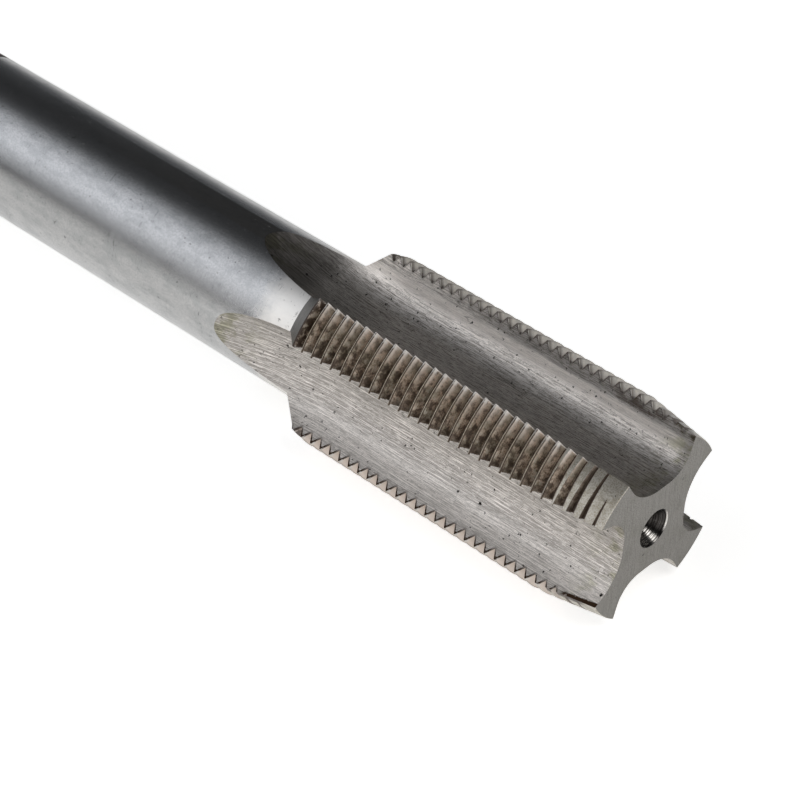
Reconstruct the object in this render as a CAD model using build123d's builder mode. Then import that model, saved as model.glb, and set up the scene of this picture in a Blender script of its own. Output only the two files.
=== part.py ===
"""A four-flute hand tap for a fine metric thread, turned, milled and ground from one bar of high-speed steel.

It lies on a bench on two of its lands. Its axis is the X axis: the flat tip is at the origin, the thread
comes next, and the shank runs on to the driving square. Sizes are in millimetres and angles in degrees.
"""

import os
from math import acos, atan, ceil, cos, degrees, pi, radians, sin, tan

from build123d import *

# Overall form
overall_length = 130.0
shank_diameter = 18.0
square_across_flats = 14.0
square_length = 18.0
end_chamfer = 1.5

# Thread: a right-hand fine metric thread whose crests and roots are cut flat
thread_diameter = 25.1
thread_pitch = 1.5
thread_length = 45.5
flank_angle = 30.0
crest_share = 1 / 8
root_share = 1 / 8
last_crest_gap = 1.6

# Back of the thread: a light bevel over the last threads, then a steep cone down to the shank
back_bevel_length = 1.5
back_bevel_drop = 0.35
back_cone_angle = 45.0

# Lead: the ground taper that spreads the cut over the first threads, lower towards each heel
lead_length = 8.0
lead_drop = 1.25
lead_relief = 0.36

# Flutes: straight, with a hooked cutting face on one side and a plain heel on the other
flute_count = 4
land_angle = 29.6
rake_angle = 12.5
web_thickness = 11.0
cutting_face_radius = 3.6
heel_radius = 6.0
flute_rise_gap = 5.5
flute_wheel_radius = 58.0

# Centre holes, one in each end, on which the tap turns while it is ground
centre_rim_diameter = 4.9
centre_pilot_diameter = 2.2
centre_depth = 4.5
centre_cone_angle = 60.0
drill_point_angle = 118.0

# Each cut starts this far outside the metal
past = 1.0
# A groove's cut stands only this little past the crests, because the next turn's cut is close beside it
groove_past = 0.05
# The cuts on a land reach this far into the flutes beside it
flute_overlap_angle = 7.0
# No groove lies nearer to the tip than this, where the lead has taken the whole thread away
first_groove_gap = 0.6

# Sizes that follow from the ones above
thread_radius = thread_diameter / 2
shank_radius = shank_diameter / 2
web_radius = web_thickness / 2
back_bevel_radius = thread_radius - back_bevel_drop
back_cone_length = (back_bevel_radius - shank_radius) / tan(radians(back_cone_angle))
flute_step = 360 / flute_count
land_cut_angle = land_angle + 2 * flute_overlap_angle
crest_flat = crest_share * thread_pitch
root_flat = root_share * thread_pitch
thread_depth = (thread_pitch - crest_flat - root_flat) / 2 / tan(radians(flank_angle))
root_radius = thread_radius - thread_depth
helix_angle = degrees(atan(thread_pitch / (pi * thread_diameter)))


def turned(radius, angle):
    """A point of a section across the axis, at a radius and an angle from the section's first direction."""
    return (radius * cos(radians(angle)), radius * sin(radians(angle)))


def along_wall(edge, angle, height):
    """The point at a height where a straight wall ends that passes through an edge at an angle."""
    return (height, edge[1] + (height - edge[0]) * tan(radians(angle)))


def groove_positions(land):
    """The places along the axis where the thread's groove crosses a land.

    The helix gains a pitch in a turn, so each land's grooves lie a fraction of a pitch further on than
    those of the land before it.
    """
    last = thread_length - last_crest_gap + thread_pitch / 2 + thread_pitch * land / flute_count
    places = [last - turn * thread_pitch for turn in range(ceil(last / thread_pitch))]
    return [place for place in places if first_groove_gap < place < thread_length]


# One flute's cut, in the direction of Y: the section runs straight from the tip, then follows the
# rim of the wheel that made it up and out of the shank
with BuildPart() as flute_cut:
    mouth_angle = (flute_step - land_angle) / 2
    outside = thread_radius + past
    cutting_edge = turned(thread_radius, mouth_angle)
    heel_edge = turned(thread_radius, -mouth_angle)
    rake_wall_angle = mouth_angle - rake_angle
    rise_start = thread_length - flute_rise_gap
    with BuildSketch(Plane.YZ.offset(rise_start)) as flute_section:
        with BuildLine():
            walls = FilletPolyline(
                along_wall(cutting_edge, rake_wall_angle, outside),
                along_wall(cutting_edge, rake_wall_angle, web_radius),
                along_wall(heel_edge, -mouth_angle, web_radius),
                along_wall(heel_edge, -mouth_angle, outside),
                radius=(cutting_face_radius, heel_radius),
            )
            Line(walls @ 0, walls @ 1)
        make_face()
    extrude(flute_section.sketch, amount=-rise_start - past)
    wheel_axis = Axis((rise_start, web_radius + flute_wheel_radius, 0), (0, 0, 1))
    wheel_arc = degrees(acos(1 - (thread_radius - web_radius) / flute_wheel_radius))
    revolve(flute_section.sketch, axis=wheel_axis, revolution_arc=wheel_arc)

# The lead's cut on one land, in the direction of Y: its cone is centred a little towards the cutting
# edge, so the heel is ground lower and clears the work
with BuildPart() as lead_cut:
    cone_offset = lead_relief / 2 / sin(radians(land_angle / 2))
    cone_slope = lead_drop / lead_length
    cone_axis = Axis((0, 0, -cone_offset), (1, 0, 0))
    cone_end = lead_length + past / cone_slope
    first_side = Plane(origin=(0, 0, -cone_offset), x_dir=(1, 0, 0), z_dir=(0, 0, 1))
    with BuildSketch(first_side.rotated((-land_cut_angle / 2, 0, 0))):
        with BuildLine():
            Polyline(
                (-past, thread_radius - lead_drop - cone_slope * past),
                (cone_end, thread_radius + past),
                (-past, thread_radius + past),
                close=True,
            )
        make_face()
    revolve(axis=cone_axis, revolution_arc=land_cut_angle)

# The groove's cut on one land, in the direction of Y: across a land the helix is a circle tilted by the
# helix angle, to within a thousandth of a millimetre
with BuildPart() as groove_cut:
    tilt = Vector(cos(radians(helix_angle)), 0, -sin(radians(helix_angle)))
    groove_middle = Plane(origin=(0, 0, 0), x_dir=tilt, z_dir=tilt.cross(Vector(0, 1, 0)))
    mouth_width = root_flat + 2 * (thread_depth + groove_past) * tan(radians(flank_angle))
    with BuildSketch(groove_middle.rotated((-land_cut_angle / 2, 0, 0))):
        with BuildLine():
            Polyline(
                (-root_flat / 2, root_radius),
                (root_flat / 2, root_radius),
                (mouth_width / 2, thread_radius + groove_past),
                (-mouth_width / 2, thread_radius + groove_past),
                close=True,
            )
        make_face()
    revolve(axis=Axis((0, 0, 0), tilt), revolution_arc=land_cut_angle)

# The cut of a centre hole, in the tip: a cone for the grinder's centre and a pilot under it
with BuildPart() as centre_cut:
    rim_radius = centre_rim_diameter / 2
    pilot_radius = centre_pilot_diameter / 2
    centre_slope = tan(radians(centre_cone_angle / 2))
    cone_depth = (rim_radius - pilot_radius) / centre_slope
    point_depth = pilot_radius / tan(radians(drill_point_angle / 2))
    with BuildSketch(Plane.XZ):
        with BuildLine():
            Polyline(
                (-past, 0),
                (-past, rim_radius + past * centre_slope),
                (cone_depth, pilot_radius),
                (centre_depth, pilot_radius),
                (centre_depth + point_depth, 0),
                close=True,
            )
        make_face()
    revolve(axis=Axis.X)

with BuildPart() as tap:
    # The turned blank: thread, back bevel, back cone and shank
    with BuildSketch(Plane.XZ):
        with BuildLine():
            Polyline(
                (0, 0),
                (0, thread_radius),
                (thread_length - back_bevel_length, thread_radius),
                (thread_length, back_bevel_radius),
                (thread_length + back_cone_length, shank_radius),
                (overall_length - end_chamfer, shank_radius),
                (overall_length, shank_radius - end_chamfer),
                (overall_length, 0),
                close=True,
            )
        make_face()
    revolve(axis=Axis.X)

    # The driving square at the far end
    with BuildSketch(Plane.YZ.offset(overall_length - square_length)):
        Circle(shank_radius + past)
        Rectangle(square_across_flats, square_across_flats, mode=Mode.SUBTRACT)
    extrude(amount=square_length + past, mode=Mode.SUBTRACT)

    with Locations((0, 0, 0), Location((overall_length, 0, 0), (0, 0, 180))):
        add(centre_cut.part, mode=Mode.SUBTRACT)

    # The flutes lie between the lands, which stand half a step away from them
    with Locations([Location((0, 0, 0), (flute * flute_step, 0, 0)) for flute in range(flute_count)]):
        add(flute_cut.part, mode=Mode.SUBTRACT)

    land_angles = [(land + 0.5) * flute_step for land in range(flute_count)]
    with Locations([Location((0, 0, 0), (angle, 0, 0)) for angle in land_angles]):
        add(lead_cut.part, mode=Mode.SUBTRACT)

    crossings = [
        Location((place, 0, 0), (angle, 0, 0))
        for land, angle in enumerate(land_angles)
        for place in groove_positions(land)
    ]
    with Locations(crossings):
        add(groove_cut.part, mode=Mode.SUBTRACT)

os.makedirs("parts", exist_ok=True)
tap.part.label = "tap"
export_step(tap.part, "parts/tap.step")
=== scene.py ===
"""A four-flute hand tap for a fine metric thread, with the finish of each ground, milled and cut surface.

The tap's form is one Geometry Nodes tree: a turned blank whose rows follow the thread's helix, less the
flutes, the centre holes and the flats of the driving square. Lengths are in metres.
"""

from functools import partial
from math import pi, radians, tan
from types import SimpleNamespace

import bpy
from bpy.props import FloatProperty, FloatVectorProperty, IntProperty, PointerProperty
from mathutils import Matrix, Vector


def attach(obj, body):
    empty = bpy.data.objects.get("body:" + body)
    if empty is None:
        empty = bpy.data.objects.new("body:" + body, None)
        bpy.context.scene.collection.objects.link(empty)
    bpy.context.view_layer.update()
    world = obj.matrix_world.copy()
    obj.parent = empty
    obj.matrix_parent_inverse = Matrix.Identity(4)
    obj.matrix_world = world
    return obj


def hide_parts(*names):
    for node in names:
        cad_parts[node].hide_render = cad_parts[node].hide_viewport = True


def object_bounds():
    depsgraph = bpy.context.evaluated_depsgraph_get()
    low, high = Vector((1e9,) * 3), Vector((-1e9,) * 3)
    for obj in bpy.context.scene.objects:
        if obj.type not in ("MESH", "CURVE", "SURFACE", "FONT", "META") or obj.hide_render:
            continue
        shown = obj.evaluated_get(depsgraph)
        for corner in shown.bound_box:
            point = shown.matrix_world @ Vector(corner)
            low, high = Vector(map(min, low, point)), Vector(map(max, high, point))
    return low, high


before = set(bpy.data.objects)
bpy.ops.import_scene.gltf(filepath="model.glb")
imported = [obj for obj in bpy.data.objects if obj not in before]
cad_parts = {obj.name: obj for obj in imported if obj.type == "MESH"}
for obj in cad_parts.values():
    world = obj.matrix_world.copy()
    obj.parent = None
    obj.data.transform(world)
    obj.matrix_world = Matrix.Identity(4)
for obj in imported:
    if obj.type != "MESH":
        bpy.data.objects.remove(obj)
cad_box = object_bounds()

bl_info = {
    "name": "Thread Tap",
    "version": (1, 0, 0),
    "blender": (4, 5, 0),
    "location": "View3D > Sidebar > Tap",
    "description": "Builds a hand tap with straight flutes, its finishes and a studio to show it in",
    "category": "Object",
}

MM = 0.001


def length(name, description, millimetres):
    """A size in the sidebar, given in millimetres."""
    return FloatProperty(
        name=name,
        description=description,
        default=millimetres * MM,
        min=0,
        subtype="DISTANCE",
        unit="LENGTH",
        precision=5,
    )


def turn(name, description, angle):
    """An angle in the sidebar, given in degrees."""
    return FloatProperty(
        name=name, description=description, default=radians(angle), subtype="ANGLE", unit="ROTATION"
    )


class TapSizes(bpy.types.PropertyGroup):
    """The tap's sizes, which are also the inputs of its tree."""

    overall_length: length("Overall Length", "From the tip to the end of the square", 130)
    shank_diameter: length("Shank Diameter", "Across the plain round shank", 18)
    square_width: length("Square Width", "Across the flats of the driving square", 14)
    square_length: length("Square Length", "Along the driving square", 18)
    end_chamfer: length("End Chamfer", "On the rim of the far end", 1.5)
    thread_diameter: length("Thread Diameter", "Across the crests", 25.1)
    pitch: length("Pitch", "From crest to crest", 1.5)
    thread_length: length("Thread Length", "From the tip to the back cone", 45.5)
    last_crest: length("Last Crest", "Where the first land's last crest lies", 43.9)
    crest_flat: length("Crest Flat", "Width of a full crest", 0.085)
    root_flat: length("Root Flat", "Width of the groove's bottom", 0.14)
    crest_break: length("Crest Break", "Half the width of the break on a crest's edges", 0.015)
    tip_break: length("Tip Break", "The stoned edge between the lead and the tip's face", 0.07)
    flank_angle: turn("Flank Angle", "Between a flank and the plane across the axis", 30)
    bevel_length: length("Back Bevel Length", "Along the light bevel over the last threads", 1.5)
    bevel_drop: length("Back Bevel Drop", "What that bevel takes off the radius", 0.35)
    cone_angle: turn("Back Cone Angle", "Between the back cone and the axis", 45)
    lead_length: length("Lead Length", "Along the ground taper at the tip", 8)
    lead_drop: length("Lead Drop", "What the taper takes off the radius at the tip", 1.25)
    lead_relief: length("Lead Relief", "How much lower the taper is at each heel", 0.36)
    flutes: IntProperty(name="Flutes", description="Number of flutes and of lands", default=4, min=2, max=8)
    land_angle: turn("Land Angle", "What each land takes of the round", 29.6)
    rake_angle: turn("Rake Angle", "How far the cutting face hooks in", 12.5)
    web: length("Web", "Thickness of the core between opposite flutes", 11)
    face_radius: length("Cutting Face Radius", "Under the cutting face", 3.6)
    heel_radius: length("Heel Radius", "Under the heel", 6)
    rise_gap: length("Rise Gap", "How far before the end of the thread a flute starts to rise", 5.5)
    wheel_radius: length("Wheel Radius", "Of the wheel that cut the flutes", 58)
    hole_rim: length("Centre Hole Rim", "Diameter of a centre hole at its rim", 4.9)
    hole_pilot: length("Centre Hole Pilot", "Diameter of a centre hole's bottom", 2.2)
    hole_depth: length("Centre Hole Depth", "Down to the drill point", 4.5)
    ring_depth: length("Centre Hole Rings", "Depth of the rings in the cone", 0.03)
    hole_angle: turn("Centre Hole Angle", "Of the cone that a grinder's centre sits in", 60)
    columns: IntProperty(name="Columns", description="Steps round the blank", default=361, min=25)


# Short names for the kinds of node that come up most, with what each of them is given
KINDS = {
    "choice": ("GeometryNodeIndexSwitch", {"data_type": "FLOAT"}),
    "finish": ("GeometryNodeSetMaterial", {}),
    "mix": ("ShaderNodeMix", {"data_type": "RGBA"}),
    "noise": ("ShaderNodeTexNoise", {"Scale": 1, "Detail": 3, "Roughness": 0.55}),
    "smooth": ("ShaderNodeMapRange", {"interpolation_type": "SMOOTHSTEP"}),
    "vector": ("ShaderNodeVectorMath", {}),
    "xyz": ("ShaderNodeCombineXYZ", {}),
}
# These operations of the Math node are given as many values as there are
OPEN_ENDED = ("ADD", "MULTIPLY", "MAXIMUM", "MINIMUM")


def add_node(tree, kind, *values, grain=None, **named):
    """Adds a node to a tree, with its properties, and its inputs' values or links.

    A kind in capitals is an operation of the Math node, and one in small letters is a short name. Inputs
    come in order, or by name, which starts with a capital, while a property's name doesn't. A node given
    as a value means the first output that it uses, and a list means several links to one input. A
    pattern's grain is its size along each direction of the place that it is drawn on.
    """
    if kind in OPEN_ENDED and len(values) > 2:
        values = (add_node(tree, kind, *values[:-1]), values[-1])
    if grain:
        scale = tuple(1 / size for size in grain)
        values = (add_node(tree, "vector", values[0], scale, operation="MULTIPLY"),)
    kind, usual = ("ShaderNodeMath", {"operation": kind}) if kind.isupper() else KINDS.get(kind, (kind, {}))
    named = {**usual, **named}
    node = tree.nodes.new(kind)
    for name, value in named.items():
        if name[0].islower():
            setattr(node, name, value)
    if kind == "GeometryNodeIndexSwitch":
        for _ in values[3:]:
            node.index_switch_items.new()
    given = [*zip([socket for socket in node.inputs if socket.enabled], values)]
    given += [(node.inputs[name], value) for name, value in named.items() if name[0].isupper()]
    for socket, value in given:
        for each in value if isinstance(value, list) else [value]:
            if isinstance(each, bpy.types.Node):
                each = next(output for output in each.outputs if output.enabled)
            if isinstance(each, bpy.types.NodeSocket):
                tree.links.new(each, socket)
            elif each is not None:
                socket.default_value = each
    return node


def geometry_tree(name, sizes):
    """A new tree with one named input for each size.

    With it come the function that adds to it, and each input's socket and identifier by its size's key.
    """
    tree = bpy.data.node_groups.new(name, "GeometryNodeTree")
    tree.interface.new_socket(name="Geometry", in_out="OUTPUT", socket_type="NodeSocketGeometry")
    kinds = {"FLOAT": "NodeSocketFloat", "INT": "NodeSocketInt"}
    keys = {}
    for size in sizes.bl_rna.properties:
        if size.type not in kinds:
            continue
        socket = tree.interface.new_socket(name=size.name, in_out="INPUT", socket_type=kinds[size.type])
        if size.type == "FLOAT":
            socket.subtype = size.subtype
        socket.description = size.description
        socket.default_value = size.default
        keys[size.identifier] = socket.identifier
    add = partial(add_node, tree)
    given = add("NodeGroupInput").outputs
    return tree, add, {key: given[number] for number, key in enumerate(keys)}, keys


def ground_radius(add, size, x, angle):
    """The radius that grinding leaves at a place along the axis and an angle round it.

    It is the full thread, the lead's cone, whose centre lies off the axis towards each cutting edge, or
    the light bevel at the back, whichever is lowest.
    """
    full = add("DIVIDE", size["thread_diameter"], 2)
    step = add("DIVIDE", 2 * pi, size["flutes"])
    half_step = add("DIVIDE", step, 2)
    across = add("SUBTRACT", add("FLOORED_MODULO", angle, step), half_step)
    half_land = add("DIVIDE", size["land_angle"], 2)
    offset = add("DIVIDE", size["lead_relief"], add("MULTIPLY", 2, add("SINE", half_land)))
    slope = add("DIVIDE", size["lead_drop"], size["lead_length"])
    cone = add("MULTIPLY_ADD", x, slope, add("SUBTRACT", full, size["lead_drop"]))
    beside = add("MULTIPLY", offset, add("COSINE", across))
    squares = add("SUBTRACT", add("POWER", cone, 2), add("POWER", beside, 2))
    shift = add("MULTIPLY", offset, add("SINE", across))
    lead = add("SUBTRACT", add("SQRT", squares), shift)
    bevel_start = add("SUBTRACT", size["thread_length"], size["bevel_length"])
    bevel_slope = add("DIVIDE", size["bevel_drop"], size["bevel_length"])
    past_bevel = add("SUBTRACT", x, bevel_start)
    back = add("SUBTRACT", full, add("MULTIPLY", past_bevel, bevel_slope))
    return add("MINIMUM", lead, back, full)


# The thread's rows in each turn, how many turns there are, and the angle of a drill's point in degrees
STATIONS = 10
TURNS = 33
DRILL_POINT = 118


def row_and_angle(add, columns):
    """The row of a grid's point, and its column's angle round the axis. The last column meets the first."""
    index = add("GeometryNodeInputIndex")
    row = add("FLOOR", add("DIVIDE", add("ADD", index, 0.5), columns))
    column = add("FLOORED_MODULO", index, columns)
    angle = add("MULTIPLY", column, add("DIVIDE", 2 * pi, add("SUBTRACT", columns, 1)))
    return row, angle


def turned(add, rows, columns, x, radius, angle):
    """A grid of points wrapped round the axis, each at its place along it and its radius."""
    grid = add("GeometryNodeMeshGrid", 1, 1, rows, columns)
    y = add("MULTIPLY", radius, add("COSINE", angle))
    z = add("MULTIPLY", radius, add("SINE", angle))
    placed = add("GeometryNodeSetPosition", grid, None, add("xyz", x, y, z))
    return add("GeometryNodeFlipFaces", placed)


def closed(add, mesh):
    """The mesh with its seams and poles merged."""
    return add("GeometryNodeMergeByDistance", mesh, Distance=1e-7)


def blank(add, size, finish):
    """The turned blank with its thread: rows along the axis, wrapped round it as a tube with closed ends.

    Each turn of the thread has ten rows that run along its crest, crest edges, flanks and groove, so
    they climb with the helix and every edge is a true edge. The last four rows are the back cone's foot,
    the shank's end, the chamfer's end and the middle of the far end.
    """
    thread_rows = STATIONS * TURNS + 1
    rows_behind = 4
    rows = 1 + thread_rows + rows_behind
    row, angle = row_and_angle(add, size["columns"])
    thread_row = add("SUBTRACT", row, 1)
    turns = add("FLOOR", add("DIVIDE", add("ADD", thread_row, 0.5), STATIONS))
    station = add("SUBTRACT", thread_row, add("MULTIPLY", turns, STATIONS))
    from_crest = add("SUBTRACT", station, STATIONS / 2)
    side = add("SIGN", from_crest)
    rank = add("ABSOLUTE", from_crest)

    # The crest's place: a pitch further on for each turn, and the helix's share of a pitch for the angle
    half_step = add("DIVIDE", pi, size["flutes"])
    round_share = add("DIVIDE", add("SUBTRACT", angle, half_step), 2 * pi)
    behind = add("ADD", add("SUBTRACT", turns, TURNS - 2), round_share)
    crest_x = add("MULTIPLY_ADD", behind, size["pitch"], size["last_crest"])

    # Half the crest's width: where grinding has lowered the crest, it is as wide as the flanks are there
    full = add("DIVIDE", size["thread_diameter"], 2)
    flank = add("TANGENT", size["flank_angle"])
    half_pitch = add("DIVIDE", size["pitch"], 2)
    half_crest = add("DIVIDE", size["crest_flat"], 2)
    root_edge = add("SUBTRACT", half_pitch, add("DIVIDE", size["root_flat"], 2))
    edge = half_crest
    for _ in range(3):
        edge_x = add("MULTIPLY_ADD", side, edge, crest_x)
        lowered = add("SUBTRACT", full, ground_radius(add, size, edge_x, angle))
        edge = add("MULTIPLY_ADD", lowered, flank, half_crest)
    edge = add("MINIMUM", edge, root_edge)
    inner = add("MAXIMUM", add("SUBTRACT", edge, size["crest_break"]), 0)
    outer = add("MINIMUM", add("ADD", edge, size["crest_break"]), root_edge)
    middle = add("DIVIDE", add("ADD", outer, root_edge), 2)
    away = add("choice", rank, 0.0, inner, outer, middle, root_edge, half_pitch)
    thread_x = add("MULTIPLY_ADD", side, away, crest_x)
    past_tip = add("GREATER_THAN", thread_row, 0.5)
    first_x = add("MULTIPLY", size["tip_break"], past_tip)
    thread_x = add("MINIMUM", add("MAXIMUM", thread_x, first_x), size["thread_length"])

    # The radius there: the lower of the thread's own outline and what grinding leaves
    bevel_start = add("SUBTRACT", size["thread_length"], size["bevel_length"])
    before = add("MULTIPLY", half_pitch, -1)
    apart = add("ABSOLUTE", add("WRAP", add("SUBTRACT", thread_x, crest_x), half_pitch, before))
    depth = add("DIVIDE", add("SUBTRACT", root_edge, half_crest), flank)
    drop = add("DIVIDE", add("SUBTRACT", apart, half_crest), flank)
    drop = add("MINIMUM", add("MAXIMUM", drop, 0), depth)
    cut = add("SUBTRACT", full, drop)
    ground = ground_radius(add, size, thread_x, angle)
    thread_radius = add("MINIMUM", cut, ground)
    at_tip = add("MULTIPLY", size["tip_break"], add("SUBTRACT", 1, past_tip))
    thread_radius = add("SUBTRACT", thread_radius, at_tip)
    thread_radius = add("MULTIPLY", thread_radius, add("GREATER_THAN", row, 0.5))

    # The rows behind the thread
    shank = add("DIVIDE", size["shank_diameter"], 2)
    cone_drop = add("SUBTRACT", add("SUBTRACT", full, size["bevel_drop"]), shank)
    cone_length = add("DIVIDE", cone_drop, add("TANGENT", size["cone_angle"]))
    cone_foot = add("ADD", size["thread_length"], cone_length)
    end = size["overall_length"]
    chamfer_start = add("SUBTRACT", end, size["end_chamfer"])
    chamfer_radius = add("SUBTRACT", shank, size["end_chamfer"])
    tail = add("MAXIMUM", add("SUBTRACT", row, thread_rows), 0)
    x = add("choice", tail, thread_x, cone_foot, chamfer_start, end, end)
    radius = add("choice", tail, thread_radius, shank, shank, chamfer_radius, 0.0)
    made = turned(add, rows, size["columns"], x, radius, angle)

    # Each band of rows takes its finish, and the crests theirs
    on_face = add("GeometryNodeFieldOnDomain", row, data_type="FLOAT", domain="POINT")
    bands = (
        ("end face", 0, 1),
        ("thread", 1, thread_rows),
        ("cone", thread_rows, thread_rows + 1),
        ("shank", thread_rows + 1, thread_rows + 3),
        ("end face", thread_rows + 3, rows),
    )
    for name, first, last in bands:
        inside = add("MULTIPLY", add("GREATER_THAN", on_face, first), add("LESS_THAN", on_face, last))
        made = add("finish", made, inside, finish[name])
    # What grinding has reached is bright: the crests and the lead, up to where the back bevel starts
    reached = add("LESS_THAN", ground, add("ADD", cut, 1e-6))
    reached = add("MULTIPLY", reached, add("LESS_THAN", thread_x, bevel_start))
    reached = add("GeometryNodeFieldOnDomain", reached, data_type="FLOAT", domain="POINT")
    in_thread = add("MULTIPLY", add("GREATER_THAN", on_face, 1), add("LESS_THAN", on_face, thread_rows))
    crest = add("MULTIPLY", in_thread, add("GREATER_THAN", reached, 0.8))
    made = add("finish", made, crest, finish["crest"])
    return closed(add, made)


def round_the_axis(add, size, mesh):
    """One copy of the mesh for each flute, turned about the axis, the first towards +Y."""
    points = add("GeometryNodeMeshLine", size["flutes"], Offset=(0, 0, 0))
    step = add("DIVIDE", 2 * pi, size["flutes"])
    rotation = add("xyz", add("MULTIPLY", add("GeometryNodeInputIndex"), step))
    copies = add("GeometryNodeInstanceOnPoints", points, Instance=mesh, Rotation=rotation)
    return add("GeometryNodeRealizeInstances", copies)


def flute_cutters(add, size, finish):
    """What the milling wheel takes away: a hooked section that runs back from the tip and curves out."""
    full = add("DIVIDE", size["thread_diameter"], 2)
    outside = add("ADD", full, 1 * MM)
    floor = add("DIVIDE", size["web"], 2)
    step = add("DIVIDE", 2 * pi, size["flutes"])
    mouth = add("DIVIDE", add("SUBTRACT", step, size["land_angle"]), 2)
    edge_height = add("MULTIPLY", full, add("COSINE", mouth))
    edge_across = add("MULTIPLY", full, add("SINE", mouth))
    rake_slope = add("TANGENT", add("SUBTRACT", mouth, size["rake_angle"]))
    heel_slope = add("MULTIPLY", add("TANGENT", mouth), -1)
    corners = []
    for height, slope, start in (
        (outside, rake_slope, edge_across),
        (floor, rake_slope, edge_across),
        (floor, heel_slope, None),
        (outside, heel_slope, None),
    ):
        if start:
            across = add("MULTIPLY_ADD", add("SUBTRACT", height, edge_height), slope, start)
        else:
            across = add("MULTIPLY", height, slope)
        corners.append(add("xyz", across, add("MULTIPLY", height, -1)))
    corners = {f"Point {number}": corner for number, corner in enumerate(corners, 1)}
    section = add("GeometryNodeCurvePrimitiveQuadrilateral", mode="POINTS", **corners)
    corner = add("GeometryNodeInputIndex")
    radii = add("choice", corner, 0.0, size["face_radius"], size["heel_radius"], 0.0)
    fillet_steps = 24
    section = add("GeometryNodeFilletCurve", section, fillet_steps, radii, mode="POLY")

    # The wheel's way: straight along the axis, then round the wheel's own middle
    arc_steps = 40
    reach = add("ADD", floor, size["wheel_radius"])
    rise = add("SUBTRACT", size["thread_length"], size["rise_gap"])
    arc = add("ARCCOSINE", add("SUBTRACT", 1, add("DIVIDE", full, reach)))
    index = add("GeometryNodeInputIndex")
    along = add("MAXIMUM", add("SUBTRACT", index, 1), 0)
    angle = add("MULTIPLY", along, add("DIVIDE", arc, arc_steps))
    x = add("MULTIPLY_ADD", reach, add("SINE", angle), rise)
    x = add("choice", add("MINIMUM", index, 1), -1 * MM, x)
    z = add("MULTIPLY", reach, add("SUBTRACT", 1, add("COSINE", angle)))
    way = add("GeometryNodeCurvePrimitiveLine")
    way = add("GeometryNodeResampleCurve", way, None, arc_steps + 2)
    way = add("GeometryNodeSetPosition", way, None, add("xyz", x, 0, z))
    cutter = add("GeometryNodeCurveToMesh", way, section, **{"Fill Caps": True})
    cutter = add("finish", cutter, None, finish["flute"])
    return round_the_axis(add, size, cutter)


def centre_hole_cutters(add, size, finish):
    """What is drilled out of both ends: a cone, a pilot under it and the drill's point."""
    columns = 97
    rings = 14
    row, angle = row_and_angle(add, columns)
    rim = add("DIVIDE", size["hole_rim"], 2)
    pilot = add("DIVIDE", size["hole_pilot"], 2)
    slope = add("TANGENT", add("DIVIDE", size["hole_angle"], 2))
    cone_depth = add("DIVIDE", add("SUBTRACT", rim, pilot), slope)
    above = add("MULTIPLY_ADD", slope, 1 * MM, rim)
    point = add("MULTIPLY_ADD", pilot, 1 / tan(radians(DRILL_POINT / 2)), size["hole_depth"])

    # The drill chattered on its way down the cone, and left rings that differ in width
    ring = add("MULTIPLY", add("SUBTRACT", row, 2), 1 / (rings - 1))
    uneven = add("MULTIPLY", add("SINE", add("MULTIPLY", row, 2.3)), 0.35 / rings)
    inside = add("MULTIPLY", add("GREATER_THAN", ring, 0.02), add("LESS_THAN", ring, 0.98))
    ring = add("MULTIPLY_ADD", uneven, inside, ring)
    ring_x = add("MULTIPLY", ring, cone_depth)
    parity = add("SUBTRACT", add("FLOORED_MODULO", row, 2), 0.5)
    ripple = add("MULTIPLY", parity, inside, size["ring_depth"])
    ring_radius = add("SUBTRACT", add("SUBTRACT", rim, add("MULTIPLY", ring_x, slope)), ripple)
    head = add("MINIMUM", row, 2)
    ring_x = add("choice", head, -1 * MM, -1 * MM, ring_x)
    ring_radius = add("choice", head, 0.0, above, ring_radius)
    stage = add("MAXIMUM", add("SUBTRACT", row, rings + 1), 0)
    x = add("choice", stage, ring_x, size["hole_depth"], point)
    radius = add("choice", stage, ring_radius, pilot, 0.0)
    hole = closed(add, turned(add, rings + 4, columns, x, radius, angle))
    hole = add("finish", hole, None, finish["centre hole"])
    end = add("xyz", size["overall_length"])
    return [hole, add("GeometryNodeTransform", hole, Translation=end, Rotation=(0, 0, pi))]


def flat_cutters(add, size, finish):
    """What is milled off the shank's end to leave the driving square."""
    # Each block reaches past the shank on both sides, and misses the blocks beside it
    spare = 1 * MM
    half_width = add("DIVIDE", size["square_width"], 2)
    height = add("SUBTRACT", add("MULTIPLY_ADD", size["shank_diameter"], 0.5, spare), half_width)
    length = add("ADD", size["square_length"], spare)
    across = add("MULTIPLY", half_width, 1.9)
    start = add("SUBTRACT", size["overall_length"], size["square_length"])
    block = add("GeometryNodeMeshCube", add("xyz", length, across, height))
    place = add("MULTIPLY_ADD", length, 0.5, start), 0, add("MULTIPLY_ADD", height, 0.5, half_width)
    block = add("GeometryNodeTransform", block, Translation=add("xyz", *place))
    block = add("finish", block, None, finish["flute"])
    return round_the_axis(add, size, block)


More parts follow.
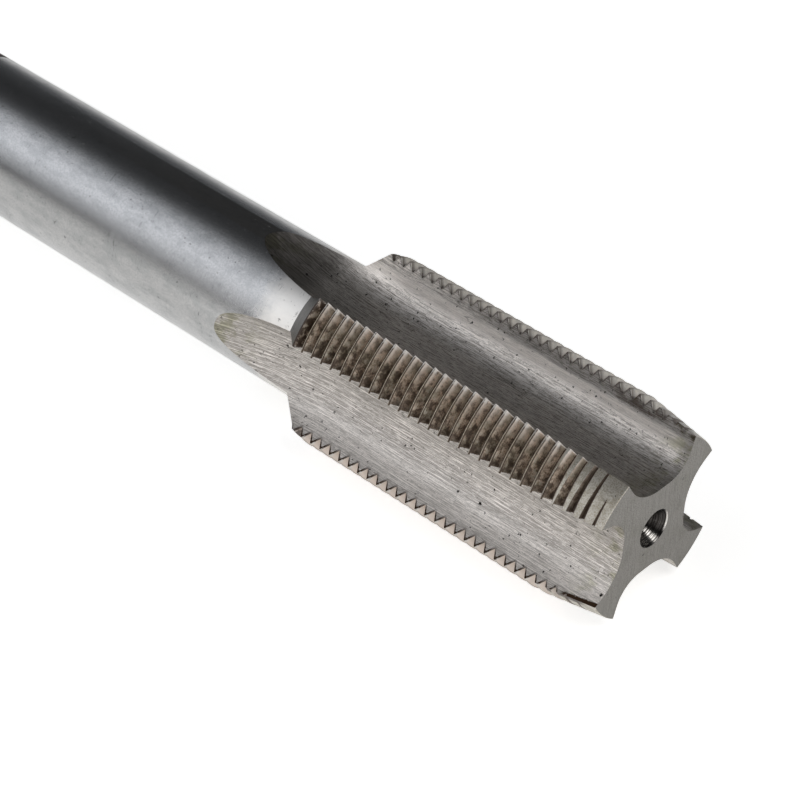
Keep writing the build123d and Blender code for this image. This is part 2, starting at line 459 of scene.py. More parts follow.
def tap_mesh(sizes, finish):
    """The whole tap as one plain closed mesh, worked out by its tree from the sizes."""
    tree, add, size, keys = geometry_tree("Tap", sizes)
    cutters = [flute_cutters(add, size, finish), flat_cutters(add, size, finish)]
    cutters += centre_hole_cutters(add, size, finish)
    whole = blank(add, size, finish)
    cut = add("GeometryNodeMeshBoolean", whole, cutters, operation="DIFFERENCE", solver="MANIFOLD")
    smooth = add("GeometryNodeSetShadeSmooth", cut)
    add("NodeGroupOutput", add("GeometryNodeRealizeInstances", smooth))
    holder = bpy.data.objects.new("tap_maker", bpy.data.meshes.new("tap_maker"))
    bpy.context.scene.collection.objects.link(holder)
    modifier = holder.modifiers.new("Tap", "NODES")
    modifier.node_group = tree
    for key, identifier in keys.items():
        modifier[identifier] = getattr(sizes, key)
    ready = holder.evaluated_get(bpy.context.evaluated_depsgraph_get())
    mesh = bpy.data.meshes.new_from_object(ready)
    bpy.data.objects.remove(holder)
    mesh.set_sharp_from_angle(angle=radians(25))
    return mesh


def linear(colour):
    """A colour written as sRGB hex digits, as linear red, green, blue and full alpha."""
    parts = [int(colour[place:place + 2], 16) / 255 for place in (0, 2, 4)]
    return (*[part / 12.92 if part <= 0.04045 else ((part + 0.055) / 1.055) ** 2.4 for part in parts], 1)


def colour(name, description, digits):
    """A colour in the sidebar, given as sRGB hex digits."""
    return FloatVectorProperty(
        name=name, description=description, default=linear(digits), size=4, min=0, max=1, subtype="COLOR"
    )


class TapColours(bpy.types.PropertyGroup):
    """The steel's colours as each surface shows them."""

    ground: colour("Ground Steel", "The shank, ground bright between centres", "b8b7b6")
    worn: colour("Worn Steel", "Where the ground shank has gone cloudy", "a0a1a1")
    milled: colour("Milled Steel", "The flutes and the flats of the square", "f2ece6")
    # The milled colour painted darker for the flutes that most light reaches: painted shade
    milled_painted_darker: colour("Dull Steel", "The flutes where the wheel cut cleanest", "ada8a3")
    # Pale flanks; on the lowest land they are painted light, where little light reaches
    clean: colour("Clean Flanks", "The flanks of the lowest land and beside each heel", "e8dcd2")
    line: colour("Wheel Lines", "The darker lines that the wheel left in the flutes", "918c86")
    bright: colour("Bright Steel", "Burrs, rims and scratches that catch the light", "e6e2dc")
    lead: colour("Lead", "The lead's ground lands", "cbc7be")
    crest: colour("Crest", "The narrow crests of the full thread", "c9bea8")
    flank: colour("Cut Flank", "The thread's flanks, pinkish where they are clean", "d2bca8")
    olive: colour("Olive Flank", "Where oil has dried on the flanks", "958b78")
    # Also painted shade in the grooves, under the crests, along the teeth and on the lands' edges
    stain_and_shade: colour("Stain", "Oil burnt into the flanks and grooves", "3c2d22")
    cone: colour("Back Cone", "The turned cone behind the thread", "6f6c68")
    face: colour("End Face", "The flat tip and the far end", "8b8883")
    oil: colour("Oil", "The greenish film of oil at the ends of the flutes", "b4b795")
    # Also the painted shade in the upper flute and in the centre hole
    pit_and_shade: colour("Pit", "Pores and specks", "24211f")


def steel(name):
    """A new steel material: the function that adds to its tree, and the place on its surface.

    All lengths in the materials are in millimetres, and the tip is at 0 along the axis.
    """
    material = bpy.data.materials.new(name)
    material.use_nodes = True
    material.node_tree.nodes.clear()
    add = partial(add_node, material.node_tree)
    here = add("vector", add("ShaderNodeTexCoord").outputs["Object"], Scale=1 / MM, operation="SCALE")
    return material, add, here


def from_axis(add, here):
    """How far a place is along the axis and away from it, and its angle round it, with cosine and sine."""
    x, y, z = add("ShaderNodeSeparateXYZ", here).outputs
    away = add("SQRT", add("MULTIPLY_ADD", y, y, add("MULTIPLY", z, z)))
    cosine, sine = add("DIVIDE", y, away), add("DIVIDE", z, away)
    return SimpleNamespace(x=x, away=away, angle=add("ARCTAN2", z, y), cosine=cosine, sine=sine)


def across_land(add, at):
    """The angle from a flute's middle in degrees: a land's cutting edge is at 30.2, and its heel at 59.8."""
    return add("MULTIPLY", add("WRAP", at.angle, pi / 2, 0), 180 / pi)


def finished(add, tone, layers, roughness, height, depth, metallic=1):
    """Ends a surface's tree with its shader, from its colours, its roughness and its relief.

    Each layer's colour is laid over the ones before it by its share. The relief's depth is in millimetres.
    """
    for share, paint, *blend in layers:
        tone = add("mix", share, tone, paint, blend_type=blend[0] if blend else "MIX")
    bump = add("ShaderNodeBump", 1.0, depth * MM, Height=height)
    add("ShaderNodeOutputMaterial", add("ShaderNodeBsdfPrincipled", tone, metallic, roughness, Normal=bump))


def beside_crest(add, at, sizes):
    """How far a point is along the axis from the middle of the nearest crest."""
    pitch = sizes.pitch / MM
    share = add("MULTIPLY", add("SUBTRACT", at.angle, pi / sizes.flutes), pitch / (2 * pi))
    behind = add("SUBTRACT", add("SUBTRACT", at.x, sizes.last_crest / MM), share)
    return add("ABSOLUTE", add("WRAP", behind, pitch / 2, -pitch / 2))


def pores(add, place, *sorts):
    """A mask of scattered pores with ragged rims. Each sort has its spacing, least and most radius and share.

    They lie all through the steel, so a surface opens only those whose middles are close to it.
    """
    masks = []
    for spacing, least, most, share in sorts:
        ragged = add("noise", place, grain=(0.17, 0.17, 0.17), Roughness=0.7).outputs["Color"]
        moved = add("vector", ragged, (0.65, 0.65, 0.65), place, operation="MULTIPLY_ADD")
        cells = add("ShaderNodeTexVoronoi", moved, Scale=1 / spacing, Randomness=1)
        pick, size, _ = add("ShaderNodeSeparateColor", cells.outputs["Color"]).outputs
        radius = add("smooth", size, 0, 1, least / spacing, most / spacing)
        inside = add("SUBTRACT", radius, cells.outputs["Distance"])
        inside = add("smooth", inside, -0.015 / spacing, 0.015 / spacing)
        masks.append(add("MULTIPLY", inside, add("LESS_THAN", pick, share)))
    return add("MAXIMUM", *masks) if masks[1:] else masks[0]


def shank_steel(colours):
    """High-speed steel, cylindrically ground.

    The wheel's fine lines run round the shank and soften what it mirrors. Use has left clouds, specks and
    short scratches. Next to the cone the wheel never reached, and it is paler there.
    """
    material, add, here = steel("ground_high_speed_steel")
    x = add("ShaderNodeSeparateXYZ", here).outputs["X"]
    clouds = add("noise", here, grain=(4, 1.8, 1.8), Detail=6, Roughness=0.65)
    # The wheel's lines are about 0.02 mm apart, and drawn four times as coarse to show
    lines = add("noise", here, grain=(0.08, 1.6, 1.6))
    grain = add("noise", here, grain=(0.25, 0.25, 0.25), Roughness=0.7)
    wander = add("MULTIPLY_ADD", add("noise", here, grain=(1.5, 1.5, 1.5)), 4.0, x)
    unground = add("smooth", wander, 53.4, 57.4, 1.0, 0.0)
    specks = pores(add, here, (0.9, 0.03, 0.09, 0.9), (2.6, 0.08, 0.22, 0.8))
    scratch = add("COMPARE", add("noise", here, grain=(0.9, 5, 5), Detail=2), 0.5, 0.006)
    scratch = add("MULTIPLY", scratch, add("smooth", clouds, 0.53, 0.59))
    layers = (
        (add("smooth", clouds, 0.42, 0.6, 0.0, 0.55), colours.worn),
        (add("smooth", grain, 0.42, 0.62, 0.0, 0.5), colours.worn),
        (add("MULTIPLY", unground, 0.8), colours.bright),
        (add("MULTIPLY", scratch, 0.4), colours.pit_and_shade),
        (add("MULTIPLY", specks, 0.5), colours.pit_and_shade),
    )
    roughness = add("MULTIPLY_ADD", unground, 0.12, add("smooth", clouds, 0.3, 0.7, 0.2, 0.27))
    height = add("MULTIPLY_ADD", lines, 0.25, add("MULTIPLY_ADD", grain, 0.4, clouds))
    finished(add, colours.ground, layers, roughness, add("SUBTRACT", height, specks), 0.012)
    return material


def flute_steel(colours, sizes):
    """High-speed steel, milled and then ground along the flutes.

    The wheel left fine darker and paler lines that run with the flute and rise with it where it runs
    out, some scratches, and pores where the steel tore. The light spreads across the lines.
    """
    material, add, here = steel("milled_high_speed_steel")
    at = from_axis(add, here)
    rise_start = (sizes.thread_length - sizes.rise_gap) / MM
    wheel_radius = sizes.wheel_radius / MM
    crest_radius = sizes.thread_diameter / 2 / MM
    # Every flute has run out by here, and the flats of the square, which share this finish, lie past it
    in_flutes = add("LESS_THAN", at.x, 80)
    # The lines keep their place on the wheel's rim, so they rise with it where the flute runs out
    past_rise = add("MULTIPLY", add("MAXIMUM", add("SUBTRACT", at.x, rise_start), 0), in_flutes)
    lift = add("MULTIPLY", add("POWER", past_rise, 2), 1 / (2 * wheel_radius))
    from_middle = add("WRAP", at.angle, pi / 4, -pi / 4)
    height = add("SUBTRACT", add("MULTIPLY", at.away, add("COSINE", from_middle)), lift)
    sideways = add("MULTIPLY", at.away, add("SINE", from_middle))
    # The way round a flute's hollow, as an angle about its mouth times the hollow's mean radius
    mouth, hollow = 12.5, 6.5
    around = add("MULTIPLY", add("ARCTAN2", sideways, add("SUBTRACT", mouth, height)), hollow)
    # Each flute has its own part of the pattern
    which = add("MULTIPLY", add("ROUND", add("DIVIDE", at.angle, pi / 2)), 40)
    place = add("xyz", at.x, around, which)
    # The grit's lines are finer than 0.05 mm, and drawn twice as coarse to show
    lines = add("noise", place, grain=(1.3, 0.14, 1), Detail=5, Roughness=0.7)
    streaks = add("noise", place, grain=(5, 0.4, 1), Detail=4, Roughness=0.65)
    grain = add("noise", place, grain=(0.24, 0.14, 1), Roughness=0.8)
    clouds = add("noise", here, grain=(3, 2, 2), Detail=5, Roughness=0.6)
    glints = add("noise", place, grain=(1.1, 0.12, 7), Roughness=0.7)
    furrows = add("noise", place, grain=(7, 0.11, 1), Roughness=0.65)
    scratch = add("COMPARE", add("noise", place, grain=(11, 0.6, 1), Detail=2), 0.5, 0.005)
    scratch = add("MULTIPLY", scratch, add("smooth", clouds, 0.48, 0.58))
    cut = add("COMPARE", add("noise", place, grain=(9, 0.8, 1), Detail=2, Roughness=0.3), 0.56, 0.004)
    cut = add("MULTIPLY", cut, add("smooth", clouds, 0.55, 0.48))
    pits = pores(add, place, (0.7, 0.03, 0.11, 0.9), (1.7, 0.05, 0.19, 0.8))
    # The upper flute is the rougher one. It and the heels' walls of the others take the lighter colour, the
    # rest
    # the darker: painted light and shade for how much light reaches each
    upper = add("MULTIPLY", add("smooth", at.sine, 0.6, 0.8), in_flutes)
    wall = add("MULTIPLY_ADD", streaks, 0.6, sideways)
    heel_wall = add("MULTIPLY", add("smooth", wall, -3.1, -4.1), add("smooth", wall, -4.7, -5.6, 1.0, 0.3))
    rough = add("MULTIPLY_ADD", upper, 0.2, 0.8)
    dark = add(
        "MAXIMUM",
        add("smooth", lines, 0.42, 0.6, 0.0, 0.85),
        add("smooth", grain, 0.46, 0.62, 0.0, 0.8),
        add("smooth", streaks, 0.46, 0.64, 0.0, 0.55),
        add("smooth", furrows, 0.5, 0.6, 0.0, 0.9),
    )
    # Fewer dark lines in the middle of the upper cutting face: painted light where its hollow gets too little
    # light
    middle = add("smooth", at.away, 8.6, 9.2), add("smooth", at.away, 10.9, 10.2)
    wear_and_painted_light = add("MULTIPLY", *middle, add("smooth", sideways, 4.0, 4.8), upper)
    dark = add("MULTIPLY", dark, add("MULTIPLY_ADD", wear_and_painted_light, -0.65, 1), rough)
    glints = add("smooth", glints, 0.53, 0.61, 0.0, 0.9)
    glints = add("MULTIPLY", glints, add("MULTIPLY_ADD", upper, 0.5, 0.5))
    # The corner of the wheel left two bright lines along the heels' walls
    corner = add("MULTIPLY_ADD", add("SUBTRACT", clouds, 0.5), 0.2, at.away)
    corner = add("MAXIMUM", add("COMPARE", corner, 10.5, 0.035), add("COMPARE", corner, 10.3, 0.02))
    corner = add("MULTIPLY", corner, add("smooth", streaks, 0.36, 0.5, 0.1, 0.8), heel_wall)
    # Painted shade darkens the upper flute along the heel's side and under the cutting edges; both ends
    # are darker too, and old oil tints them
    heel_side = add("smooth", add("MULTIPLY_ADD", lines, 1.6, sideways), 5.9, 4.5, 0.0, 0.42)
    edge_side = add("smooth", add("MULTIPLY_ADD", streaks, 1.5, at.away), 10.8, 11.8)
    edge_side = add("MULTIPLY", edge_side, add("smooth", at.x, 42, 24, 0.1, 0.55))
    at_back = add("smooth", at.x, 46, 53, 0.0, 0.7)
    at_tip = add("smooth", add("MULTIPLY_ADD", grain, 2.0, at.x), 3.2, 1.2, 0.0, 0.5)
    shade_and_dark_ends = add("MAXIMUM", heel_side, edge_side, add("MAXIMUM", at_back, at_tip))
    blot = add("MULTIPLY", add("smooth", clouds, 0.48, 0.58, 0.0, 0.7), add("smooth", at.x, 15, 8))
    blot = add("MULTIPLY", blot, add("smooth", add("MULTIPLY_ADD", grain, 1.0, at.away), 10.8, 11.6))
    ends = add("MAXIMUM", add("smooth", at.x, 5.5, 0.5), add("smooth", at.x, 52, 58))
    oil = add("MULTIPLY", add("smooth", clouds, 0.45, 0.6), add("MULTIPLY", ends, in_flutes))
    # Grime and painted shade lie along the teeth, just inside their edges, and on their points,
    # less of them in the upper flute
    under = add("MULTIPLY", add("SUBTRACT", crest_radius, at.away), 0.5)
    inside = add("SUBTRACT", add("MULTIPLY", beside_crest(add, at, sizes), 0.866), under)
    in_thread = add("smooth", at.x, 46, 44.5)
    teeth = add("MULTIPLY", add("smooth", add("MULTIPLY_ADD", grain, 0.1, inside), -0.11, -0.05), in_thread)
    teeth = add("MULTIPLY", teeth, add("smooth", at.away, 11.3, 12.0, 0.35, 1.0))
    teeth = add("MULTIPLY", teeth, add("smooth", at.away, 11.1, 11.3))
    points = add("smooth", add("MULTIPLY_ADD", grain, 0.5, at.away), 12.25, 12.55)
    teeth = add("MAXIMUM", teeth, add("MULTIPLY", points, in_thread))
    # Grease lies along the heel of the lowest land's lead
    grease = add("MULTIPLY_ADD", grain, 0.5, add("MULTIPLY_ADD", at.x, -0.2, at.away))
    grease = add("MULTIPLY", add("smooth", grease, 10.7, 10.86), add("smooth", at.x, 4.8, 4.0))
    lowest = add("MULTIPLY", add("smooth", at.sine, -0.3, -0.4), add("smooth", at.cosine, 0.6, 0.7))
    layers = (
        (dark, colours.line),
        (glints, colours.milled),
        (add("MULTIPLY", add("smooth", furrows, 0.47, 0.38, 0.0, 0.9), rough), colours.milled),
        (add("MULTIPLY", scratch, add("MULTIPLY", rough, 0.6)), colours.milled),
        (add("MULTIPLY", cut, 0.5), colours.pit_and_shade),
        (corner, colours.milled),
        # Painted shade on the upper flute, and its darker ends
        (add("MULTIPLY", upper, shade_and_dark_ends), colours.pit_and_shade),
        (add("MULTIPLY", upper, blot), colours.stain_and_shade),
        (add("MULTIPLY", oil, 0.6), colours.oil, "MULTIPLY"),
        # Grime and painted shade along the teeth
        (add("MULTIPLY", teeth, add("MULTIPLY_ADD", upper, -0.45, 1)), colours.stain_and_shade),
        (add("MULTIPLY", grease, lowest), colours.stain_and_shade),
        (pits, colours.pit_and_shade),
    )
    # Lighter on the upper flute and the heels' walls, darker on the rest: painted light and shade
    base = add("mix", add("MAXIMUM", upper, heel_wall), colours.milled_painted_darker, colours.milled)
    roughness = add("smooth", lines, 0.3, 0.7, 0.46, 0.6)
    relief = add("SUBTRACT", add("MULTIPLY_ADD", lines, 0.7, add("MULTIPLY", grain, 0.4)), pits)
    finished(add, base, layers, roughness, relief, 0.03)
    return material


def flank_steel(colours, sizes):
    """High-speed steel, thread-milled, with oil burnt on.

    The flanks were never polished, so they are matt and mottled in pinkish brown and olive. The dark lines in
    the groove and under each crest are painted shade, and both ends of a land are worn bright.
    """
    material, add, here = steel("threaded_high_speed_steel")
    at = from_axis(add, here)
    land = across_land(add, at)
    from_crest = beside_crest(add, at, sizes)
    top = add("MULTIPLY", add("smooth", at.sine, 0.2, 0.5), add("smooth", at.cosine, -0.2, -0.5))
    bottom = add("smooth", at.sine, -0.2, -0.5)
    patches = add("noise", here, grain=(0.62, 0.85, 0.85), Detail=6, Roughness=0.68)
    olives = add("noise", here, grain=(1.3, 1.6, 1.6), Detail=4, Roughness=0.6)
    grain = add("noise", here, grain=(0.12, 0.18, 0.18), Roughness=0.75)
    # The cutter's lines run with the thread, and are drawn about twice as coarse as they are
    lines = add("noise", add("xyz", from_crest, at.angle), grain=(0.07, 0.25, 1), Roughness=0.6)
    # The stains are thickest in the half next to the cutting edge, where painted shade deepens them
    deep_shade = add("smooth", land, 54, 38, 0.0, 0.07)
    spread = add("ADD", add("MULTIPLY_ADD", grain, 0.12, patches), deep_shade)
    # On the top land the corner between the groove and the cutting edge is darker: oil, and painted shade
    # where the next tooth hides the flank
    corner = add("smooth", add("MULTIPLY_ADD", patches, -1.6, at.away), 10.95, 10.75)
    corner = add("MULTIPLY", add("MULTIPLY", corner, add("smooth", land, 38, 32)), 0.8)
    heel = add("smooth", add("MULTIPLY_ADD", grain, 8.0, land), 50.0, 62.0, 0.0, 0.9)
    near = add("smooth", add("MULTIPLY_ADD", patches, 0.4, from_crest), 0.65, 0.35, 0.15, 1.0)
    # Painted shade: dark lines under each crest, in the groove and along the cutting edge. On the heel's edge
    # a burr is painted bright on the upper lands and dark on the lowest, as painted highlight and painted
    # shade
    edges = add("MULTIPLY_ADD", grain, 0.05, from_crest)
    faint = add("MULTIPLY_ADD", add("MAXIMUM", bottom, top), -0.7, 1)
    under_crest = add("MULTIPLY", add("smooth", edges, 0.12, 0.17, 0.95, 0.0), faint)
    groove = add("smooth", add("MULTIPLY_ADD", patches, 0.1, from_crest), 0.71, 0.76)
    rim = add("smooth", add("MULTIPLY_ADD", grain, 1.0, land), 59.7, 60.0)
    cutting = add("MULTIPLY_ADD", grain, 1.2, land)
    # Both ends of a land are worn bright, but not its crests' sides
    wear_and_painted_light = add("MULTIPLY", add("smooth", cutting, 31.7, 32.0, 1.0, 0.0), add("smooth", edges, 0.16, 0.2))
    struck = add("MULTIPLY", add("smooth", cutting, 57.0, 58.8), add("smooth", edges, 0.36, 0.26))
    wear_and_painted_light = add("MAXIMUM", wear_and_painted_light, add("MULTIPLY", struck, add("smooth", patches, 0.42, 0.5)))
    # The groove behind the last crest is darker in patches
    behind = add("smooth", add("MULTIPLY_ADD", patches, 1.2, at.x), 45.0, 45.4)
    layers = (
        (add("smooth", olives, 0.44, 0.58, 0.0, 0.8), colours.olive),
        (add("smooth", patches, 0.48, 0.38, 0.0, 0.45), colours.lead),
        (add("smooth", grain, 0.42, 0.62, 0.0, 0.6), colours.olive),
        # Stains, deepened by painted shade towards the cutting edge
        (add("smooth", spread, 0.52, 0.72, 0.0, 0.85), colours.stain_and_shade),
        (add("smooth", lines, 0.5, 0.7, 0.0, 0.4), colours.stain_and_shade),
        # The lowest land's flanks are painted lighter: painted light where little light reaches them
        (add("MULTIPLY", bottom, 0.92), colours.clean),
        # The top land's flanks are painted lighter: painted light
        (add("MULTIPLY", top, 0.7), add("mix", add("smooth", grain, 0.4, 0.6), colours.lead, colours.bright)),
        # Oil and painted shade in the top land's corner
        (add("MULTIPLY", top, corner), colours.stain_and_shade),
        (add("MULTIPLY", heel, near), colours.clean),
        # Painted shade under the crests and in the groove
        (add("MAXIMUM", under_crest, groove), colours.stain_and_shade),
        # The heel's edge: a painted highlight, and painted shade on the lowest land
        (add("MULTIPLY", rim, 0.6), add("mix", bottom, colours.bright, colours.stain_and_shade)),
        # Painted shade along the lowest land's heel
        (add("MULTIPLY", add("smooth", cutting, 59.2, 60.0), bottom), colours.stain_and_shade),
        # Painted shade along the cutting edge
        (add("smooth", cutting, 32.6, 36.5, 0.65, 0.0), colours.stain_and_shade),
        (add("MULTIPLY", wear_and_painted_light, 0.7), colours.bright),
        (add("MULTIPLY", behind, add("smooth", patches, 0.42, 0.52, 0.2, 0.9)), colours.stain_and_shade),
        # Round the lead the grooves are narrow, and are painted dark as painted shade
        (add("smooth", add("MULTIPLY_ADD", patches, 2.0, at.x), 7.5, 4.5, 0.0, 0.85), colours.stain_and_shade),
    )
    roughness = add("smooth", grain, 0.3, 0.7, 0.38, 0.52)
    relief = add("MULTIPLY_ADD", lines, 0.5, patches)
    finished(add, colours.flank, layers, roughness, relief, 0.04, metallic=0.4)
    return material


def crest_steel(colours):
    """High-speed steel, ground on its outside last of all.

    Crests and lead are the brightest of the thread: fine lines run round them, with a few dents.
    """
    material, add, here = steel("relief_ground_high_speed_steel")
    at = from_axis(add, here)
    land = across_land(add, at)
    clouds = add("noise", here, grain=(1.0, 1.2, 1.2), Detail=5, Roughness=0.65)
    lines = add("noise", here, grain=(0.08, 1.5, 1.5))
    grain = add("noise", here, grain=(0.16, 0.16, 0.16), Roughness=0.75)
    heel = add("smooth", add("MULTIPLY_ADD", grain, 8.0, land), 55, 63)
    # Grease lies along the heel of the lowest land's lead
    grease = add("smooth", add("MULTIPLY_ADD", grain, 2.0, land), 56.0, 57.6)
    grease = add("MULTIPLY", grease, add("smooth", at.sine, -0.3, -0.4))
    in_lead = add("MULTIPLY", add("smooth", at.x, 1.2, 2.2), add("smooth", at.x, 8, 6))
    grease = add("MULTIPLY", grease, in_lead)
    layers = (
        (add("smooth", at.x, 10, 7), colours.lead),
        (add("smooth", clouds, 0.44, 0.62, 0.0, 0.4), colours.olive),
        (add("smooth", grain, 0.44, 0.6, 0.0, 0.75), colours.olive),
        (add("MULTIPLY", heel, add("smooth", at.x, 6, 9)), colours.bright),
        (add("smooth", land, 46, 31, 0.0, 0.5), colours.cone),
        (add("MULTIPLY", grease, 0.95), colours.stain_and_shade),
        (add("MULTIPLY", pores(add, here, (0.7, 0.03, 0.09, 0.8)), 0.9), colours.pit_and_shade),
    )
    relief = add("MULTIPLY_ADD", lines, 0.5, grain)
    finished(add, colours.crest, layers, add("smooth", clouds, 0.3, 0.7, 0.3, 0.42), relief, 0.02)
    return material


def cone_steel(colours):
    """High-speed steel, turned and not ground after: dark and even, with faint turning lines."""
    material, add, here = steel("turned_high_speed_steel")
    lines = add("noise", here, grain=(0.07, 3, 3), Detail=2)
    grain = add("noise", here, grain=(0.35, 0.35, 0.35), Detail=4, Roughness=0.65)
    layers = [(add("smooth", grain, 0.42, 0.7, 0.0, 0.35), colours.pit_and_shade)]
    finished(add, colours.cone, layers, add("smooth", lines, 0.3, 0.7, 0.38, 0.48), lines, 0.015)
    return material


def face_steel(colours):
    """High-speed steel, faced flat on a fine stone: satin and almost even, with faint upright lines."""
    material, add, here = steel("faced_high_speed_steel")
    streaks = add("noise", here, grain=(1, 0.22, 2.6), Roughness=0.6)
    clouds = add("noise", here, grain=(2.5, 2.5, 2.5), Detail=4, Roughness=0.6)
    grain = add("noise", here, grain=(0.16, 0.16, 0.16), Roughness=0.75)
    specks = pores(add, here, (0.8, 0.03, 0.08, 0.8), (2.0, 0.08, 0.15, 0.7))
    layers = (
        (add("smooth", streaks, 0.4, 0.7, 0.0, 0.14), colours.pit_and_shade),
        (add("smooth", grain, 0.43, 0.62, 0.0, 0.36), colours.pit_and_shade),
        (add("smooth", clouds, 0.5, 0.62, 0.0, 0.12), colours.oil, "MULTIPLY"),
        (add("MULTIPLY", specks, 0.9), colours.pit_and_shade),
    )
    finished(add, colours.face, layers, add("smooth", streaks, 0.3, 0.7, 0.42, 0.5), grain, 0.012)
    return material


def hole_steel(colours):
    """High-speed steel, drilled and then polished by the centres it turned on: near a mirror, painted dark in
    rings.
    """
    material, add, here = steel("drilled_high_speed_steel")
    at = from_axis(add, here)
    rings = add("noise", add("xyz", at.x, at.away), grain=(0.12, 0.12, 1), Roughness=0.6)
    # Painted shade darkens the side far from the camera, and a painted highlight lies on the rim there
    far_side = add("MULTIPLY", at.cosine, -1)
    rim = add("MULTIPLY", add("smooth", at.away, 2.33, 2.38), add("smooth", far_side, 0.7, 0.9, 0.0, 0.8))
    layers = (
        # Dark rings painted in for the dark that the polished cone mirrors: a painted reflection
        (add("smooth", rings, 0.42, 0.58, 0.1, 0.9), colours.pit_and_shade),
        # Painted shade on the far side, and a painted highlight on its rim
        (add("smooth", far_side, 0.15, 0.7, 0.0, 0.93), colours.pit_and_shade),
        (rim, colours.bright),
    )
    finished(add, colours.bright, layers, add("smooth", rings, 0.3, 0.7, 0.18, 0.3), rings, 0.02)
    return material


def level(name, description, default, **more):
    """A plain number in the sidebar, which is never below zero."""
    return FloatProperty(name=name, description=description, default=default, min=0, **more)


class TapStudio(bpy.types.PropertyGroup):
    """The light and the camera."""

    lens: level("Lens", "Focal length on a 36 mm sensor", 133.33, unit="CAMERA")
    softbox: level("Softbox", "How bright the long softbox behind the shank is", 1)
    sheet: level("Sheet", "How bright the white sheet beyond the tip is", 1.3)
    far_floor: level("Far Floor", "How much the floor gains further out", 0.65)
    lamp: level("Lamp", "Power of the square lamp overhead", 2.2, unit="POWER")
    floor_white: level("Floor White", "What the floor adds for the camera", 0.66)
    floor_pool: level("Floor Pool", "What the floor adds beside the tap", 0.55)
    pool_width: length("Pool Width", "How far from the tap's axis the floor has faded to half", 90)


class MakeTap(bpy.types.Operator):
    """Builds the tap in one piece, and hides the plain solid that it stands for"""

    bl_idname = "tap.make_tap"
    bl_label = "Tap"

    def execute(self, context):
        colours = context.scene.tap_colours
        sizes = context.scene.tap_sizes
        finish = {
            "shank": shank_steel(colours),
            "flute": flute_steel(colours, sizes),
            "thread": flank_steel(colours, sizes),
            "crest": crest_steel(colours),
            "cone": cone_steel(colours),
            "end face": face_steel(colours),
            "centre hole": hole_steel(colours),
        }
        mesh = tap_mesh(sizes, finish)
        mesh.name = "tap_body"
        tap = bpy.data.objects.new("tap_body", mesh)
        context.scene.collection.objects.link(tap)
        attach(tap, "root")
        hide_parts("tap")
        return {"FINISHED"}


# The room's light by its angle round the tap's axis, from the horizon in front, over the top, to the
# horizon behind: a dark gap, the long softbox, then the dark room above and behind. The flutes mirror
# the part in front of the tip, which is open down to the horizon
BESIDE_SHANK = (
    (-180, 0.2), (-16, 0.18), (0, 0.07), (8, 0.2), (20, 0.62), (33, 1.06), (45, 1.32), (57, 1.2),
    (69, 0.93), (80, 0.6), (88, 0.28), (97, 0.1), (108, 0.055), (132, 0.045), (152, 0.075), (167, 0.12),
    (180, 0.2),
)
BESIDE_THREAD = (
    (-180, 0.1), (-20, 0.7), (-12, 2.0), (-4, 2.9), (8, 2.6), (20, 2.3), (30, 1.85), (40, 1.3),
    (52, 0.65), (66, 0.27), (80, 0.1), (95, 0.05), (150, 0.04), (180, 0.1),
)
# The floor's half width, the square lamp's side, its way and distance from the point it shines on, in
# metres, and the camera's place in millimetres with the ways that are right and up in its picture
FLOOR_REACH = 3.0
LAMP_SIDE = 0.5
LAMP_WAY = (-0.51, -0.07, 0.86)
LAMP_DISTANCE = 0.9
LAMP_TARGET = (0.03, 0, 0)
CAMERA_PLACE = (-138.198, 203.494, 218.158)
CAMERA_RIGHT = (-0.737109, -0.674919, 0.033969)
CAMERA_UP = (0.449112, -0.451697, 0.770888)


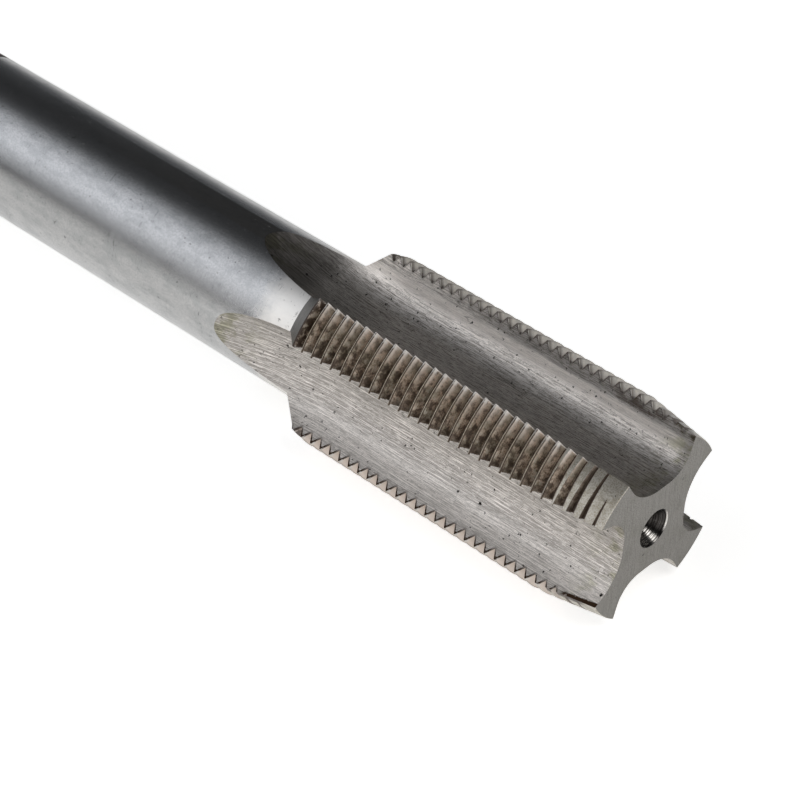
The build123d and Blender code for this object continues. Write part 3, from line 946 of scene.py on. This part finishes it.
class MakeStage(bpy.types.Operator):
    """Sets the floor, the lamp, the room's light and the camera"""

    bl_idname = "tap.make_stage"
    bl_label = "Stage"

    def execute(self, context):
        studio = context.scene.tap_studio
        low = cad_box[0][2]
        floor = bpy.data.meshes.new("floor")
        sides = ((-1, -1), (1, -1), (1, 1), (-1, 1))
        floor.from_pydata([(x * FLOOR_REACH, y * FLOOR_REACH, low) for x, y in sides], [], [(0, 1, 2, 3)])
        paper = bpy.data.materials.new("white_paper_floor")
        paper.use_nodes = True
        paper.node_tree.nodes.clear()
        add = partial(add_node, paper.node_tree)
        path = add("ShaderNodeLightPath").outputs
        mirrored = add("MAXIMUM", path["Is Glossy Ray"], path["Is Transmission Ray"])
        along, across, _ = add("ShaderNodeSeparateXYZ", add("ShaderNodeTexCoord").outputs["Object"]).outputs
        share = add("MULTIPLY", across, 1 / studio.pool_width)
        # The part that only the flutes mirror stays bright towards the horizon
        beside_shank = add("smooth", add("MULTIPLY_ADD", across, -0.6, along), 0.045, 0.065)
        fade = add("MULTIPLY", share, share, beside_shank)
        pool = add("DIVIDE", studio.floor_pool, add("ADD", fade, 1))
        raised = add("MULTIPLY", add("smooth", across, 0.02, 0.06), add("SUBTRACT", 1, beside_shank))
        raised = add("MAXIMUM", raised, add("smooth", along, -0.02, -0.06, 0, 2))
        pool = add("MULTIPLY", pool, add("MULTIPLY_ADD", raised, studio.far_floor, 1))
        glow = add("MULTIPLY_ADD", path["Is Camera Ray"], studio.floor_white, add("MULTIPLY", mirrored, pool))
        diffuse = add("ShaderNodeBsdfDiffuse", linear("f4f4f2"))
        glow = add("ShaderNodeEmission", (1, 1, 1, 1), glow)
        add("ShaderNodeOutputMaterial", add("ShaderNodeAddShader", diffuse, glow))
        floor.materials.append(paper)
        floor = bpy.data.objects.new("floor", floor)
        context.scene.collection.objects.link(floor)

        world = bpy.data.worlds.new("studio_room")
        context.scene.world = world
        world.use_nodes = True
        world.node_tree.nodes.clear()
        add = partial(add_node, world.node_tree)
        path = add("ShaderNodeLightPath").outputs
        way = add("ShaderNodeTexCoord").outputs["Generated"]
        x, y, z = add("ShaderNodeSeparateXYZ", way).outputs
        angle = add("MULTIPLY_ADD", add("ARCTAN2", z, y), 1 / (2 * pi), 0.5)
        strips = []
        for lights, tint in ((BESIDE_THREAD, (1, 1, 1.01)), (BESIDE_SHANK, (0.96, 1, 1.07))):
            strip = add("ShaderNodeValToRGB", angle)
            ramp = strip.color_ramp
            for degree, _ in lights[1:-1]:
                ramp.elements.new(0.5 + degree / 360)
            for stop, (degree, light) in zip(ramp.elements, lights):
                stop.position = 0.5 + degree / 360
                stop.color = (*[light * part for part in tint], 1)
            strips.append(strip)
        strip = add("mix", add("smooth", x, 0.44, 0.52), *strips)
        # The softbox lies beside the shank, so nothing that faces away from the shank mirrors it
        softbox = add("smooth", x, -0.2, 0.25, 0.08, studio.softbox)
        low = add("smooth", add("ABSOLUTE", z), 0.25, 0.5, studio.sheet, 0)
        sheet = add("MULTIPLY", add("smooth", x, -0.35, -0.85), low)
        strip = add("vector", strip, Scale=softbox, operation="SCALE")
        sheet = add("xyz", sheet, sheet, sheet)
        room = add("vector", strip, sheet, operation="ADD")
        view = add("mix", path["Is Camera Ray"], room, (1, 1, 1, 1))
        add("ShaderNodeOutputWorld", add("ShaderNodeBackground", view, 1.0))

        lamp = bpy.data.lights.new("lamp", "AREA")
        lamp.energy = studio.lamp
        lamp.size = LAMP_SIDE
        lamp = bpy.data.objects.new("lamp", lamp)
        lamp_way = Vector(LAMP_WAY).normalized()
        lamp.location = lamp_way * LAMP_DISTANCE + Vector(LAMP_TARGET)
        lamp.rotation_euler = lamp_way.to_track_quat("Z", "Y").to_euler()
        context.scene.collection.objects.link(lamp)

        camera = bpy.data.cameras.new("camera")
        camera.lens = studio.lens
        camera.clip_start = 0.01
        camera = bpy.data.objects.new("camera", camera)
        right, up = Vector(CAMERA_RIGHT), Vector(CAMERA_UP)
        facing = Matrix((right, up, right.cross(up))).transposed().to_4x4()
        camera.matrix_world = Matrix.Translation(Vector(CAMERA_PLACE) * MM) @ facing
        context.scene.collection.objects.link(camera)
        context.scene.camera = camera
        context.scene.view_settings.view_transform = "Standard"
        return {"FINISHED"}


class TapPanel(bpy.types.Panel):
    """Lists the tap's pieces, sizes and colours."""

    bl_idname = "VIEW3D_PT_tap"
    bl_label = "Thread Tap"
    bl_space_type = "VIEW_3D"
    bl_region_type = "UI"
    bl_category = "Tap"

    def draw(self, context):
        for operator in operators:
            self.layout.operator(operator.bl_idname)
        for group in (context.scene.tap_sizes, context.scene.tap_colours, context.scene.tap_studio):
            for size in group.bl_rna.properties:
                if size.identifier not in ("name", "rna_type"):
                    self.layout.prop(group, size.identifier)


operators = (MakeTap, MakeStage)
settings = {"tap_sizes": TapSizes, "tap_colours": TapColours, "tap_studio": TapStudio}


def register():
    for each in (*settings.values(), *operators, TapPanel):
        bpy.utils.register_class(each)
    for name, group in settings.items():
        setattr(bpy.types.Scene, name, PointerProperty(type=group))


def unregister():
    for name in settings:
        delattr(bpy.types.Scene, name)
    for each in (TapPanel, *reversed(operators), *settings.values()):
        bpy.utils.unregister_class(each)


def main():
    """Builds every piece and the stage."""
    register()
    bpy.ops.tap.make_tap()
    bpy.ops.tap.make_stage()


if __name__ == "__main__":
    main()
